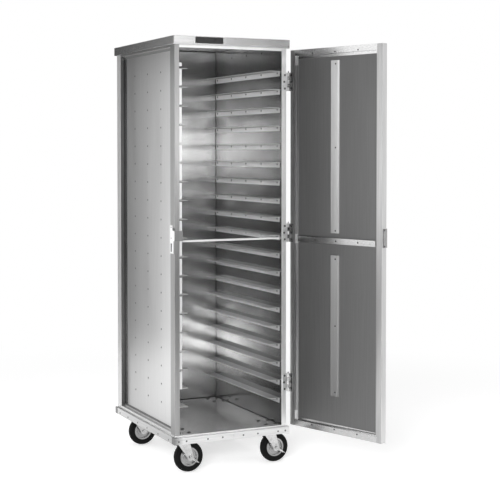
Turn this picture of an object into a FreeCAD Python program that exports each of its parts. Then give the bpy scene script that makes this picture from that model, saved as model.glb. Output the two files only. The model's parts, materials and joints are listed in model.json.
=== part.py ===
import FreeCAD, Part
import math
import os
import Sketcher

# Enclosed sheet pan rack: a riveted aluminium cabinet with one door, on four swivel casters.
# Millimetres, +Z up, front towards -Y, origin on the floor under the middle of the top cap.
# The door stands open at its rest angle. Its pieces are drawn closed, about the hinge pin.

DIMENSIONS = {
    # Overall shell
    "overall_height": 1778.0,
    "cap_width": 520.0,
    "cap_depth": 704.0,
    "cap_height": 35.0,
    "cap_sheet": 2.0,
    "side_inset": 8.6,
    "front_inset": 14.5,
    "rear_inset": 12.0,
    # Base frame and floor
    "base_clearance": 134.0,
    "base_height": 28.5,
    "base_flange": 30.0,
    "base_sheet": 2.5,
    "deck_height": 5.5,
    "deck_sheet": 2.0,
    "channel_width": 124.0,
    "channel_lip": 12.0,
    "channel_sheet": 4.0,
    # Corner posts, side rails and panels
    "post_face": 21.0,
    "post_side": 46.0,
    "post_lap": 12.0,
    "post_sheet": 2.5,
    "panel_recess": 18.0,
    "panel_sheet": 1.6,
    "rail_lip": 8.0,
    "rail_lap": 12.0,
    "rail_sheet": 1.6,
    "header_drop": 11.0,
    "header_flange": 14.0,
    "header_sheet": 2.0,
    # Pan ledges, tie bar and guide strip
    "ledge_pitch": 76.2,
    "ledge_foot_room": 111.4,
    "ledge_head_room": 120.0,
    "ledge_reach": 49.0,
    "ledge_drop": 22.0,
    "ledge_sheet": 2.0,
    "ledge_nose": 4.0,
    "ledge_front_gap": 22.5,
    "ledge_rear_gap": 6.0,
    "tie_height": 8.0,
    "tie_depth": 16.0,
    "tie_drop": 9.0,
    "strip_face": 13.0,
    "strip_side": 16.0,
    "strip_sheet": 1.5,
    "strip_rise": 20.0,
    "strip_notch": 10.0,
    # Hinges and the rest angle of the door
    "hinge_height": 76.0,
    "hinge_top_gap": 130.5,
    "hinge_bottom_gap": 177.0,
    "leaf_width": 25.0,
    "leaf_sheet": 2.0,
    "knuckle_radius": 4.5,
    "knuckle_clearance": 0.3,
    "pin_radius": 2.5,
    "pin_fit": 0.05,
    "pin_cap_radius": 3.6,
    "pin_tip": 9.0,
    "pin_outset": 8.7,
    "door_angle": 108.3,
    # Door
    "door_gap": 5.0,
    "door_side_gap": 5.9,
    "door_thickness": 28.0,
    "door_clearance": 7.5,
    "pin_to_edge": 9.6,
    "frame_face": 25.0,
    "frame_lap": 12.0,
    "frame_sheet": 1.5,
    "door_panel_set": 12.0,
    "door_panel_sheet": 1.5,
    "door_panel_tuck": 8.0,
    "mid_rail_width": 32.0,
    "strap_rise": 7.0,
    "strap_slope": 4.0,
    "strap_sheet": 1.5,
    "stiffener_width": 44.0,
    "stiffener_gap": 16.0,
    "stiffener_offset": 7.0,
    "lower_stiffener_top_gap": 42.0,
    "lower_stiffener_foot_gap": 115.0,
    "clip_height": 38.0,
    "clip_leg": 10.0,
    "clip_sheet": 1.5,
    # Latch and strike
    "latch_height": 74.0,
    "latch_face": 25.0,
    "latch_sheet": 2.0,
    "latch_edge": 2.5,
    "latch_edge_set": 8.0,
    "lug_height": 7.0,
    "lug_reach": 12.5,
    "lug_width": 15.0,
    "lug_set": 9.0,
    "latch_pin_radius": 3.0,
    "latch_pin_set": 7.0,
    "handle_length": 86.0,
    "handle_height": 34.0,
    "handle_sheet": 6.0,
    "handle_hub_radius": 5.5,
    "handle_bend": 39.0,
    "handle_kick": 12.0,
    "handle_play": 0.5,
    "strike_sheet": 2.0,
    "strike_height": 114.0,
    "strike_drop": 15.0,
    "strike_tongue_height": 41.0,
    "strike_tongue_reach": 14.0,
    "strike_head_set": 18.0,
    "strike_foot_set": 8.0,
    "strike_slot_height": 32.0,
    "strike_slot_width": 6.0,
    "strike_slot_rise": 8.0,
    "strike_slot_set": 34.5,
    "window_width": 12.0,
    "window_height": 11.0,
    # Casters
    "caster_inset_side": 63.0,
    "caster_inset_end": 86.0,
    "plate_width": 67.0,
    "plate_length": 95.0,
    "plate_sheet": 3.5,
    "bolt_span_side": 44.5,
    "bolt_span_end": 70.0,
    "bolt_neck": 7.0,
    "bolt_fit": 0.3,
    "bolt_head_radius": 7.0,
    "bolt_head_height": 3.0,
    "bolt_nut_radius": 7.0,
    "bolt_nut_height": 5.0,
    "race_radius": 29.0,
    "race_height": 4.5,
    "race_gap": 0.5,
    "lower_race_height": 9.5,
    "kingpin_radius": 6.0,
    "kingpin_head_radius": 11.0,
    "kingpin_head_height": 4.0,
    "crown_half": 27.0,
    "crown_sheet": 4.0,
    "caster_trail": 33.0,
    "fork_gap": 42.0,
    "fork_sheet": 3.5,
    "fork_end_radius": 14.0,
    "axle_radius": 4.0,
    "axle_fit": 0.1,
    "nut_radius": 7.5,
    "nut_height": 6.0,
    "wheel_radius": 62.5,
    "tread_width": 32.0,
    "tread_shoulder": 9.0,
    "tread_corner": 2.7,
    "hub_radius": 39.0,
    "hub_width": 26.0,
    "hub_rim": 6.0,
    "hub_ring_radius": 24.0,
    "hub_ring_width": 16.0,
    "hub_web_width": 9.0,
    "hub_boss_radius": 13.0,
    "hub_side_play": 1.0,
    "tyre_fit": 0.05,
    "lever_half_length": 37.0,
    "lever_half_width": 6.0,
    "lever_hub_radius": 12.0,
    "lever_sheet": 3.0,
    "lever_play": 0.3,
    "lever_tilt": 34.0,
    "pedal_reach": 14.0,
    "pedal_length": 12.0,
    "pedal_sheet": 3.0,
}

# Levels and faces that several pieces share
POST_X = "(dims.cap_width / 2 - dims.side_inset)"
FRONT_Y = "(dims.front_inset - dims.cap_depth / 2)"
REAR_Y = "(dims.cap_depth / 2 - dims.rear_inset)"
PANEL_X = f"({POST_X} - dims.panel_recess)"
WALL_X = f"({PANEL_X} - dims.panel_sheet)"
BACK_Y = f"({REAR_Y} - dims.post_sheet - dims.panel_sheet)"
BASE_TOP = "(dims.base_clearance + dims.base_height)"
DECK_TOP = f"({BASE_TOP} + dims.deck_height)"
CAP_BOTTOM = "(dims.overall_height - dims.cap_height)"
SHELL_TOP = "(dims.overall_height - dims.cap_sheet)"
SHELL_HEIGHT = f"({SHELL_TOP} - {DECK_TOP})"
TOP_LIP = f"({SHELL_TOP} - {CAP_BOTTOM} + dims.rail_lip)"
TOP_RAIL = f"({TOP_LIP} + dims.rail_lap)"
BOTTOM_RAIL = "(dims.rail_lip + dims.rail_lap)"
LEDGE_FRONT = f"({FRONT_Y} + dims.ledge_front_gap)"
LEDGE_REAR = f"({BACK_Y} - dims.ledge_rear_gap)"
PIN_X = f"({POST_X} + dims.pin_outset)"
PIN_Y = f"({FRONT_Y} - dims.door_gap / 2)"
LOW_LEDGE = f"({DECK_TOP} + dims.ledge_foot_room)"
LEDGE_ROOM = f"({SHELL_HEIGHT} - dims.ledge_foot_room - dims.ledge_head_room)"
LEDGE_COUNT = f"(floor({LEDGE_ROOM} / dims.ledge_pitch) + 1)"
HINGE_COUNT = "3"

# Door faces, measured from the hinge pin with the door closed
HINGE_EDGE = "(-dims.pin_to_edge)"
DOOR_WIDTH = f"(2 * {POST_X} + dims.pin_outset - dims.pin_to_edge - dims.door_side_gap)"
FREE_EDGE = f"(-dims.pin_to_edge - {DOOR_WIDTH})"
DOOR_INNER = "(-dims.door_gap / 2)"
DOOR_OUTER = "(-dims.door_gap / 2 - dims.door_thickness)"
PANEL_INNER = "(-dims.door_gap / 2 - dims.door_panel_set)"
DOOR_BOTTOM = f"({BASE_TOP} + dims.door_clearance)"
DOOR_TOP = f"({CAP_BOTTOM} - dims.door_clearance)"
DOOR_HEIGHT = f"({DOOR_TOP} - {DOOR_BOTTOM})"
DOOR_MIDDLE = f"(-dims.pin_to_edge - {DOOR_WIDTH} / 2)"
MID_RAIL = f"(({DOOR_BOTTOM} + {DOOR_TOP}) / 2)"
LOW_HINGE = f"({DOOR_BOTTOM} + dims.hinge_bottom_gap)"
HINGE_SPAN = f"({DOOR_HEIGHT} - dims.hinge_bottom_gap - dims.hinge_top_gap)"
LATCH_HEIGHT = f"({LOW_HINGE} + {HINGE_SPAN} / 2)"
FRAME_WALL = "(dims.frame_face - dims.frame_sheet)"
FRAME_REACH = "(dims.frame_face + dims.frame_lap)"
RAIL_SPAN = f"({DOOR_WIDTH} - 2 * dims.frame_face)"
LAP_SPAN = f"({RAIL_SPAN} - 2 * dims.frame_lap)"

# Caster levels, measured from the floor, and sides measured from the wheel's middle plane
CASTER_X = "(dims.cap_width / 2 - dims.caster_inset_side)"
CASTER_Y = "(dims.cap_depth / 2 - dims.caster_inset_end)"
CHANNEL_TOP = f"({BASE_TOP} - dims.base_sheet)"
PLATE_TOP = f"({CHANNEL_TOP} - dims.channel_sheet)"
PLATE_BOTTOM = f"({PLATE_TOP} - dims.plate_sheet)"
RACE_BOTTOM = f"({PLATE_BOTTOM} - dims.race_height)"
LOWER_RACE_TOP = f"({RACE_BOTTOM} - dims.race_gap)"
CROWN_TOP = f"({LOWER_RACE_TOP} - dims.lower_race_height)"
CROWN_BOTTOM = f"({CROWN_TOP} - dims.crown_sheet)"
FORK_HALF = "(dims.fork_gap / 2 + dims.fork_sheet)"
LEVER_FACE = f"({FORK_HALF} + dims.lever_play)"
CORNERS = {"fl": (-1, -1), "fr": (1, -1), "rl": (-1, 1), "rr": (1, 1)}

doc = FreeCAD.newDocument("sheet_pan_rack")
dims = doc.addObject("Spreadsheet::Sheet", "dims")
for row, (alias, size) in enumerate(DIMENSIONS.items(), start=1):
    dims.set(f"A{row}", str(size))
    dims.setAlias(f"A{row}", alias)
doc.recompute()

subparts = []


def num(text):
    """Present value of a size expression."""
    return float(dims.evalExpression(text))


def bind(item, **sizes):
    """Ties properties of an object to size expressions."""
    for name, text in sizes.items():
        item.setExpression(name, text)


def new_body(label, many=False):
    """Empty body that becomes one node; many allows a group of separate solids."""
    body = doc.addObject("PartDesign::Body", label)
    body.Label = label
    body.AllowCompound = many
    subparts.append(body)
    return body


def origin_item(body, role):
    """Plane or axis of a body's own origin."""
    return next(item for item in body.Origin.OriginFeatures if item.Role == role)


def place(item, x="0", y="0", z="0"):
    """Ties the position of a sub-part to size expressions."""
    for axis, text in (("x", x), ("y", y), ("z", z)):
        item.setExpression(f"Placement.Base.{axis}", text)


def turn(item, axis, angle):
    """Turns a sub-part about one of its own axes by an angle expression in degrees."""
    item.Placement = FreeCAD.Placement(item.Placement.Base, FreeCAD.Rotation(axis, num(angle)))
    item.setExpression("Placement.Rotation.Angle", angle)


def place_on_door(item):
    """Hangs a piece, drawn closed about the hinge pin, at the door's rest angle."""
    turn(item, FreeCAD.Vector(0, 0, 1), "dims.door_angle")
    place(item, PIN_X, PIN_Y)


def empty_sketch(body, role, offset):
    """Sketch on one of the body's origin planes, moved along that plane's normal."""
    sketch = body.newObject("Sketcher::SketchObject", "outline")
    sketch.AttachmentSupport = (origin_item(body, role), "")
    sketch.MapMode = "FlatFace"
    sketch.setExpression("AttachmentOffset.Base.z", offset)
    return sketch


def pin_point(sketch, geometry, spot, x, y):
    """Fixes one point of a sketch at two size expressions."""
    for kind, text in (("DistanceX", x), ("DistanceY", y)):
        index = sketch.addConstraint(Sketcher.Constraint(kind, geometry, spot, num(text)))
        sketch.setExpression(f"Constraints[{index}]", text)


def polygons(body, role, loops, offset="0"):
    """Sketch of closed polygons whose corners are pairs of size expressions."""
    sketch = empty_sketch(body, role, offset)
    for corners in loops:
        first = sketch.GeometryCount
        points = [FreeCAD.Vector(num(x), num(y), 0) for x, y in corners]
        for start, end in zip(points, points[1:] + points[:1]):
            sketch.addGeometry(Part.LineSegment(start, end))
        for index in range(len(points)):
            following = first + (index + 1) % len(points)
            sketch.addConstraint(Sketcher.Constraint("Coincident", first + index, 2, following, 1))
            pin_point(sketch, first + index, 1, *corners[index])
    return sketch


def circles(body, role, centres, radius, offset="0"):
    """Sketch of equal circles at centres given as pairs of size expressions."""
    sketch = empty_sketch(body, role, offset)
    for x, y in centres:
        middle = FreeCAD.Vector(num(x), num(y), 0)
        index = sketch.addGeometry(Part.Circle(middle, FreeCAD.Vector(0, 0, 1), num(radius)))
        pin_point(sketch, index, 3, x, y)
        size = sketch.addConstraint(Sketcher.Constraint("Radius", index, num(radius)))
        sketch.setExpression(f"Constraints[{size}]", radius)
    return sketch


def rectangle(x0, x1, y0, y1):
    """Four corners from two pairs of opposite sides."""
    return [(x0, y0), (x1, y0), (x1, y1), (x0, y1)]


def pad(body, sketch, length, back=False, both=False):
    """Raises a sketch along its normal, against it or to both sides."""
    feature = body.newObject("PartDesign::Pad", "pad")
    feature.Profile = sketch
    feature.Reversed = back
    feature.Midplane = both
    bind(feature, Length=length)
    doc.recompute()
    return feature


def pocket(body, sketch, length, back=False, both=False):
    """Cuts a sketch against its normal, along it or to both sides, and makes sure that it cut."""
    before = body.Shape.Volume
    feature = body.newObject("PartDesign::Pocket", "pocket")
    feature.Profile = sketch
    feature.Reversed = back
    feature.Midplane = both
    bind(feature, Length=length)
    doc.recompute()
    if not body.Shape.Volume < before:
        raise RuntimeError(f"{body.Label}: a pocket removed nothing")
    return feature


def spin(body, sketch, axis, cut=False):
    """Revolves a sketch, or cuts a groove, all the way round one of the body's axes."""
    kind = "PartDesign::Groove" if cut else "PartDesign::Revolution"
    feature = body.newObject(kind, "round")
    feature.Profile = sketch
    feature.ReferenceAxis = (origin_item(body, axis), [""])
    feature.Angle = 360.0
    doc.recompute()
    return feature


def repeat_up(body, features, span, count):
    """Repeats features up the body's Z axis, count times over span."""
    pattern = body.newObject("PartDesign::LinearPattern", "repeat")
    pattern.Originals = features
    pattern.Direction = (origin_item(body, "Z_Axis"), [""])
    bind(pattern, Length=span, Occurrences=count)
    body.Tip = pattern
    doc.recompute()
    return pattern


def hexagon(radius):
    """Corners of a hexagon about the origin, from its corner radius."""
    angles = [math.radians(60 * step) for step in range(6)]
    return [(f"{math.cos(a):.6f} * {radius}", f"{math.sin(a):.6f} * {radius}") for a in angles]


# Shell: top cap, floor and base frame


def open_pan(label, half_x, front, rear, bottom, height, sheet):
    """Sheet pan, open below, with its rim turned down on all four sides."""
    body = new_body(label)
    outer = rectangle(f"-{half_x}", half_x, front, rear)
    inner = rectangle(f"{sheet} - {half_x}", f"{half_x} - {sheet}", f"{front} + {sheet}", f"{rear} - {sheet}")
    pad(body, polygons(body, "XY_Plane", [outer]), height)
    pocket(body, polygons(body, "XY_Plane", [inner]), f"{height} - {sheet}", back=True)
    place(body, z=bottom)
    return body


def caster_bolt_places():
    """Centres of the plate bolts of all the casters."""
    places = []
    for side, end in CORNERS.values():
        for u, v in CORNERS.values():
            x = f"{side} * {CASTER_X} + {u} * dims.bolt_span_side / 2"
            y = f"{end} * {CASTER_Y} + {v} * dims.bolt_span_end / 2"
            places.append((x, y))
    return places


def squares(places, width):
    """Equal squares about centres given as pairs of size expressions."""
    half = f"({width}) / 2"
    return [rectangle(f"{x} - {half}", f"{x} + {half}", f"{y} - {half}", f"{y} + {half}") for x, y in places]


def bolt_holes(body, offset="0"):
    """Sketch of the square holes that hold the bolts' necks."""
    width = "dims.bolt_neck + 2 * dims.bolt_fit"
    return polygons(body, "XY_Plane", squares(caster_bolt_places(), width), offset)


def top_cap():
    half_depth = "dims.cap_depth / 2"
    open_pan("top_cap", "dims.cap_width / 2", f"-{half_depth}", half_depth, CAP_BOTTOM,
             "dims.cap_height", "dims.cap_sheet")


def floor_deck():
    deck = open_pan("floor_deck", POST_X, FRONT_Y, REAR_Y, BASE_TOP, "dims.deck_height", "dims.deck_sheet")
    pocket(deck, bolt_holes(deck), "dims.deck_height", back=True)


def base_end_rail(label, end):
    """Front or rear base rail: apron, top flange and a return round each corner."""
    body = new_body(label)
    half = "dims.cap_width / 2"
    sheet = "dims.base_sheet"
    outer = rectangle(f"-{half}", half, "0", f"{-end} * dims.base_flange")
    inner = rectangle(f"{sheet} - {half}", f"{half} - {sheet}", f"{-end} * {sheet}",
                      f"{-end} * dims.base_flange")
    pad(body, polygons(body, "XY_Plane", [outer]), "dims.base_height")
    pocket(body, polygons(body, "XY_Plane", [inner]), f"dims.base_height - {sheet}", back=True)
    place(body, y=f"{end} * dims.cap_depth / 2", z="dims.base_clearance")


def base_side_rail(label, side):
    """Side base rail: apron with a top flange, between the corner returns of the end rails."""
    body = new_body(label)
    sheet = "dims.base_sheet"
    corners = [("0", "0"), ("0", "dims.base_height"),
               (f"{-side} * dims.base_flange", "dims.base_height"),
               (f"{-side} * dims.base_flange", f"dims.base_height - {sheet}"),
               (f"{-side} * {sheet}", f"dims.base_height - {sheet}"), (f"{-side} * {sheet}", "0")]
    length = "dims.cap_depth - 2 * dims.base_flange"
    pad(body, polygons(body, "XZ_Plane", [corners]), length, both=True)
    place(body, x=f"{side} * dims.cap_width / 2", z="dims.base_clearance")


def caster_channels():
    """Two lipped cross channels under the base flanges that carry the casters."""
    body = new_body("caster_channels", many=True)
    sheet = "dims.channel_sheet"
    loops = []
    for end in (-1, 1):
        near = f"{end} * {CASTER_Y} - dims.channel_width / 2"
        far = f"{end} * {CASTER_Y} + dims.channel_width / 2"
        loops.append([(near, "-dims.channel_lip"), (near, "0"), (far, "0"), (far, "-dims.channel_lip"),
                      (f"{far} - {sheet}", "-dims.channel_lip"), (f"{far} - {sheet}", f"-{sheet}"),
                      (f"{near} + {sheet}", f"-{sheet}"), (f"{near} + {sheet}", "-dims.channel_lip")])
    length = "dims.cap_width - 2 * dims.base_sheet"
    pad(body, polygons(body, "YZ_Plane", loops), length, both=True)
    pocket(body, bolt_holes(body), sheet)
    place(body, z=CHANNEL_TOP)


# Frame: posts, panels, rails and header


def post(label, side, end):
    """Corner post: face, side and return to the panel, with a lap on the panel between the rails."""
    body = new_body(label)
    sheet = "dims.post_sheet"
    long = "dims.post_side"
    deep = "dims.panel_recess"
    section = [("0", "0"), ("dims.post_face", "0"), ("dims.post_face", sheet), (sheet, sheet),
               (sheet, f"{long} - {sheet}"), (deep, f"{long} - {sheet}"), (deep, long), ("0", long)]
    lap = rectangle(f"{deep} - {sheet}", deep, f"{long} - {sheet}", f"{long} + dims.post_lap")
    corners = [(f"{-side} * ({u})", f"{-end} * ({v})") for u, v in section]
    lap_corners = [(f"{-side} * ({u})", f"{-end} * ({v})") for u, v in lap]
    pad(body, polygons(body, "XY_Plane", [corners]), SHELL_HEIGHT)
    pad(body, polygons(body, "XY_Plane", [lap_corners], offset=BOTTOM_RAIL),
        f"{SHELL_HEIGHT} - {BOTTOM_RAIL} - {TOP_RAIL}")
    place(body, x=f"{side} * {POST_X}", y=FRONT_Y if end < 0 else REAR_Y, z=DECK_TOP)
    return body


def latch_post():
    """Post on the latch side, with a small window in its side over the strike's tongue."""
    body = post("post_front_left", -1, -1)
    sheet = "dims.post_sheet"
    low = f"{LATCH_HEIGHT} + dims.strike_tongue_height / 2 - {DECK_TOP}"
    window = rectangle(sheet, f"{sheet} + dims.window_width", low, f"{low} + dims.window_height")
    pocket(body, polygons(body, "YZ_Plane", [window]), sheet, back=True)


def panel(label, x, y, length, width):
    """Flat upright sheet from the floor deck to the underside of the cap."""
    sheet = doc.addObject("Part::Box", label)
    sheet.Label = label
    bind(sheet, Length=length, Width=width, Height=SHELL_HEIGHT)
    place(sheet, x, y, DECK_TOP)
    subparts.append(sheet)


def panels():
    depth = f"{REAR_Y} - {FRONT_Y} - 2 * dims.post_sheet"
    front = f"{FRONT_Y} + dims.post_sheet"
    panel("left_side_panel", f"-{PANEL_X}", front, "dims.panel_sheet", depth)
    panel("right_side_panel", WALL_X, front, "dims.panel_sheet", depth)
    panel("back_panel", f"-{WALL_X}", BACK_Y, f"2 * {WALL_X}", "dims.panel_sheet")


def side_rail(label, side, top):
    """Bent rail that closes the recess over or under a side panel, between the posts."""
    body = new_body(label)
    sheet = "dims.rail_sheet"
    deep = "dims.panel_recess"
    lip = TOP_LIP if top else "dims.rail_lip"
    section = [("0", "0"), ("0", lip), (f"{deep} - {sheet}", lip),
               (f"{deep} - {sheet}", f"{lip} + dims.rail_lap"), (deep, f"{lip} + dims.rail_lap"),
               (deep, f"{lip} - {sheet}"), (sheet, f"{lip} - {sheet}"), (sheet, "0")]
    up = -1 if top else 1
    corners = [(f"{-side} * ({u})", f"{up} * ({v})") for u, v in section]
    length = f"{REAR_Y} - {FRONT_Y} - 2 * dims.post_side"
    start = f"-({FRONT_Y} + dims.post_side)"
    pad(body, polygons(body, "XZ_Plane", [corners], offset=start), length, back=True)
    place(body, x=f"{side} * {POST_X}", z=SHELL_TOP if top else DECK_TOP)


def front_header():
    """Angle over the door opening, between the faces of the front posts."""
    body = new_body("front_header")
    sheet = "dims.header_sheet"
    height = f"({SHELL_TOP} - {CAP_BOTTOM} + dims.header_drop)"
    deep = f"({sheet} + dims.header_flange)"
    corners = [("0", "0"), ("0", f"-{height}"), (deep, f"-{height}"), (deep, f"{sheet} - {height}"),
               (sheet, f"{sheet} - {height}"), (sheet, "0")]
    length = f"2 * ({POST_X} - dims.post_face)"
    pad(body, polygons(body, "YZ_Plane", [corners]), length, both=True)
    place(body, y=FRONT_Y, z=SHELL_TOP)


# Pan ledges, tie bar and guide strip


def ledges(label, side):
    """One wall's stack of angle ledges: top leg with a cut front corner, and a leg down the wall."""
    body = new_body(label, many=True)
    sheet = "dims.ledge_sheet"
    reach = f"{-side} * dims.ledge_reach"
    nose = f"{-side} * (dims.ledge_reach - dims.ledge_nose)"
    top = [("0", LEDGE_FRONT), (nose, LEDGE_FRONT), (reach, f"{LEDGE_FRONT} + dims.ledge_nose"),
           (reach, LEDGE_REAR), ("0", LEDGE_REAR)]
    wall = rectangle("0", f"{-side} * {sheet}", LEDGE_FRONT, LEDGE_REAR)
    shelf = pad(body, polygons(body, "XY_Plane", [top]), sheet, back=True)
    leg = pad(body, polygons(body, "XY_Plane", [wall]), "dims.ledge_drop", back=True)
    repeat_up(body, [shelf, leg], f"dims.ledge_pitch * ({LEDGE_COUNT} - 1)", LEDGE_COUNT)
    place(body, x=f"{side} * {WALL_X}", z=LOW_LEDGE)


def mid_tie_bar():
    """Flat bar that ties the two walls, between the legs of the middle pair of ledges."""
    bar = doc.addObject("Part::Box", "mid_tie_bar")
    bar.Label = "mid_tie_bar"
    half = f"({WALL_X} - dims.ledge_sheet)"
    top = f"{LOW_LEDGE} + dims.ledge_pitch * floor({LEDGE_COUNT} / 2) - dims.tie_drop"
    bind(bar, Length=f"2 * {half}", Width="dims.tie_depth", Height="dims.tie_height")
    place(bar, f"-{half}", LEDGE_FRONT, f"{top} - dims.tie_height")
    subparts.append(bar)


def guide_strip():
    """Notched angle behind the latch post: each pan's rim passes through a notch at its ledge."""
    body = new_body("latch_side_guide_strip")
    sheet = "dims.strip_sheet"
    corners = [("0", "0"), ("dims.strip_face", "0"), ("dims.strip_face", sheet), (sheet, sheet),
               (sheet, "dims.strip_side"), ("0", "dims.strip_side")]
    length = f"(dims.ledge_pitch * ({LEDGE_COUNT} - 2) + dims.strip_rise)"
    pad(body, polygons(body, "XY_Plane", [corners]), length)
    notch = rectangle(sheet, "dims.strip_face", "dims.ledge_pitch - dims.strip_notch / 2",
                      "dims.ledge_pitch + dims.strip_notch / 2")
    cut = pocket(body, polygons(body, "XZ_Plane", [notch]), sheet)
    repeat_up(body, [cut], f"dims.ledge_pitch * ({LEDGE_COUNT} - 3)", f"{LEDGE_COUNT} - 2")
    place(body, x=f"-{WALL_X}", y=f"{FRONT_Y} + dims.post_sheet", z=f"{LOW_LEDGE} + dims.ledge_pitch")


# Hinges


def hinge_knuckle_cuts(on_post):
    """Height ranges, about a hinge's middle, where a leaf leaves room for the other leaf's knuckles."""
    half = "(dims.hinge_height / 5 + dims.knuckle_clearance) / 2"
    steps = (-1, 1) if on_post else (-2, 0, 2)
    middles = [f"{step} * dims.hinge_height / 5" for step in steps]
    return [(f"{middle} - {half}", f"{middle} + {half}") for middle in middles]


def hinge_leaves(label, on_post):
    """Leaves of all hinges: a plate with interleaved knuckles about the pin, drawn closed."""
    body = new_body(label, many=True)
    face = "dims.door_gap / 2" if on_post else "-dims.door_gap / 2"
    inner = f"{face} - dims.leaf_sheet" if on_post else f"{face} + dims.leaf_sheet"
    plate = polygons(body, "XY_Plane", [rectangle("-dims.leaf_width", "0", face, inner)])
    round_part = circles(body, "XY_Plane", [("0", "0")], "dims.knuckle_radius")
    bore = circles(body, "XY_Plane", [("0", "0")], "dims.pin_radius + dims.pin_fit")
    room = "dims.knuckle_radius + dims.knuckle_clearance"
    cuts = [rectangle("0", room, low, high) for low, high in hinge_knuckle_cuts(on_post)]
    features = [pad(body, plate, "dims.hinge_height", both=True)]
    features.append(pad(body, round_part, "dims.hinge_height", both=True))
    features.append(pocket(body, bore, "2 * dims.hinge_height", both=True))
    features.append(spin(body, polygons(body, "XZ_Plane", cuts), "Z_Axis", cut=True))
    repeat_up(body, features, HINGE_SPAN, HINGE_COUNT)
    return body


def hinges():
    post_leaves = hinge_leaves("hinge_post_leaves", True)
    place(post_leaves, PIN_X, PIN_Y, LOW_HINGE)
    door_leaves = hinge_leaves("hinge_door_leaves", False)
    place_on_door(door_leaves)
    place(door_leaves, PIN_X, PIN_Y, LOW_HINGE)
    pins = new_body("hinge_pins", many=True)
    half = "(dims.hinge_height / 2 + dims.knuckle_clearance)"
    profile = [("0", f"-{half}"), ("dims.pin_radius", f"-{half}"), ("dims.pin_radius", half),
               ("dims.pin_cap_radius", half), ("0", f"{half} + dims.pin_tip")]
    shape = spin(pins, polygons(pins, "XZ_Plane", [profile]), "Z_Axis")
    repeat_up(pins, [shape], HINGE_SPAN, HINGE_COUNT)
    place_on_door(pins)
    place(pins, PIN_X, PIN_Y, LOW_HINGE)


# Door


def frame_section():
    """Door frame channel, from its edge inwards and from its inner face outwards, down to its lap."""
    face = "dims.frame_face"
    sheet = "dims.frame_sheet"
    deep = "dims.door_thickness"
    seat = "dims.door_panel_set"
    return [("0", "0"), (face, "0"), (face, f"{seat} - {sheet}"), (FRAME_WALL, f"{seat} - {sheet}"),
            (FRAME_WALL, sheet), (sheet, sheet), (sheet, f"{deep} - {sheet}"), (face, f"{deep} - {sheet}"),
            (face, deep), ("0", deep)]


def door_stile(label, edge, inwards):
    """Upright frame channel at one edge of the door, with a lap on the panel between the rails' laps."""
    body = new_body(label)
    seat = "dims.door_panel_set"
    lap = rectangle(FRAME_WALL, FRAME_REACH, f"{seat} - dims.frame_sheet", seat)
    corners = [(f"{edge} + {inwards} * ({u})", f"{DOOR_INNER} - ({v})") for u, v in frame_section()]
    lap_corners = [(f"{edge} + {inwards} * ({u})", f"{DOOR_INNER} - ({v})") for u, v in lap]
    pad(body, polygons(body, "XY_Plane", [corners], offset=DOOR_BOTTOM), DOOR_HEIGHT)
    pad(body, polygons(body, "XY_Plane", [lap_corners], offset=f"{DOOR_BOTTOM} + {FRAME_REACH}"),
        f"{DOOR_HEIGHT} - 2 * {FRAME_REACH}")
    place_on_door(body)


def door_end_rail(label, level, inwards):
    """Frame channel across the top or bottom of the door between the stiles, with a lap on the panel."""
    body = new_body(label)
    seat = "dims.door_panel_set"
    lap = rectangle(FRAME_WALL, FRAME_REACH, f"{seat} - dims.frame_sheet", seat)
    for section in (frame_section(), lap):
        corners = [(f"{DOOR_INNER} - ({v})", f"{level} + {inwards} * ({u})") for u, v in section]
        pad(body, polygons(body, "YZ_Plane", [corners], offset=DOOR_MIDDLE), RAIL_SPAN, both=True)
    place_on_door(body)


def door_panel():
    """Flat sheet held in the frame channels."""
    body = new_body("door_panel")
    tuck = "(dims.frame_face - dims.door_panel_tuck)"
    outline = rectangle(f"{FREE_EDGE} + {tuck}", f"{HINGE_EDGE} - {tuck}", f"{DOOR_BOTTOM} + {tuck}",
                        f"{DOOR_TOP} - {tuck}")
    sketch = polygons(body, "XZ_Plane", [outline], offset=f"-{PANEL_INNER}")
    pad(body, sketch, "dims.door_panel_sheet")
    place_on_door(body)


def strap_section(middle, width):
    """Shallow hat on the inner face of the panel: along its width, then out from the panel."""
    sheet = "dims.strap_sheet"
    slope = "dims.strap_slope"
    half = f"{width} / 2"
    rise = "dims.strap_rise"
    side = [(half, "0"), (f"({half} - {slope})", rise),
            (f"({half} - {slope} - {sheet})", f"{rise} - {sheet}"), (f"({half} - {sheet})", "0")]
    right = [(f"{middle} + {u}", v) for u, v in side]
    left = [(f"{middle} - {u}", v) for u, v in side]
    return [left[0], left[1], right[1], right[0], right[3], right[2], left[2], left[3]]


def door_mid_rail():
    """Hat strap across the panel between the stiles' laps."""
    body = new_body("door_mid_rail")
    section = strap_section(MID_RAIL, "dims.mid_rail_width")
    corners = [(f"{PANEL_INNER} + {v}", u) for u, v in section]
    pad(body, polygons(body, "YZ_Plane", [corners], offset=DOOR_MIDDLE), LAP_SPAN, both=True)
    place_on_door(body)


def door_stiffener(label, bottom, top):
    """Upright hat strap on the panel, a little to the hinge side of its middle."""
    body = new_body(label)
    section = strap_section(f"{DOOR_MIDDLE} + dims.stiffener_offset", "dims.stiffener_width")
    corners = [(u, f"{PANEL_INNER} + {v}") for u, v in section]
    pad(body, polygons(body, "XY_Plane", [corners], offset=bottom), f"{top} - ({bottom})")
    place_on_door(body)


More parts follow.
